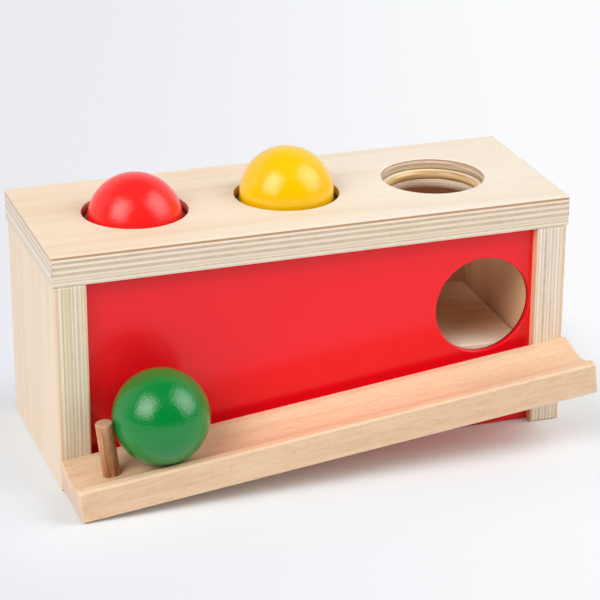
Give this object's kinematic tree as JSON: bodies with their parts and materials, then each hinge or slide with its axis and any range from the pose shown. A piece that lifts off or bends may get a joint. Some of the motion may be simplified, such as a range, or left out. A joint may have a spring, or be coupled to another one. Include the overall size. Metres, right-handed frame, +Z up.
{
  "type": "ball pounding box",
  "caption": "Wooden toy box with ball holes in its lid, elastic rings that grip the balls, a sloping inner floor, an exit hole and a grooved return track with a stop peg.",
  "frame": {"origin": "on the ground under the middle of the whole toy's outline, balls and track included", "axes": "+X along the box towards the exit hole, +Y from the track to the back of the box, +Z up"},
  "size_m": [0.2544, 0.1342, 0.1385],
  "materials": {
    "lid_plywood": "sanded, clear matt lacquer",
    "clamp_plywood": "sanded, clear matt lacquer",
    "side_plywood": "sanded, clear matt lacquer",
    "floor_plywood": "sanded, bare",
    "red_panel_paint": "satin paint on plywood",
    "beech": "sanded, clear matt lacquer",
    "peg_wood": "sanded, oiled",
    "amber_elastic": "clear, glossy",
    "red_lacquer": "gloss lacquer",
    "yellow_lacquer": "gloss lacquer",
    "green_lacquer": "gloss lacquer"
  },
  "bodies": {
    "box": {"top_board": "lid_plywood", "ring_clamp_board": "clamp_plywood", "grip_ring_left": "amber_elastic", "grip_ring_middle": "amber_elastic", "grip_ring_right": "amber_elastic", "left_side_panel": "side_plywood", "right_side_panel": "side_plywood", "front_panel": "red_panel_paint", "back_panel": "red_panel_paint", "inner_floor": "floor_plywood", "floor_rail_front": "beech", "floor_rail_back": "beech", "ball_track": "beech", "stop_peg": "peg_wood", "track_dowel_left": "beech", "track_dowel_right": "beech", "lid_dowels_left": "beech", "lid_dowels_right": "beech"},
    "red_ball": {"red_ball": "red_lacquer"},
    "yellow_ball": {"yellow_ball": "yellow_lacquer"},
    "green_ball": {"green_ball": "green_lacquer"}
  },
  "joints": [
    {"name": "red_ball_push", "type": "slide", "parent": "box", "child": "red_ball", "axis": [0, 0, 1], "range_m": [-0.0372, 0.045], "deforming": ["grip_ring_left"]},
    {"name": "yellow_ball_push", "type": "slide", "parent": "box", "child": "yellow_ball", "axis": [0, 0, 1], "range_m": [-0.046, 0.045], "deforming": ["grip_ring_middle"]},
    {"name": "green_ball_roll", "type": "slide", "parent": "box", "child": "green_ball", "axis": [0.9939, 0, 0.1106], "range_m": [0, 0.178]}
  ]
}
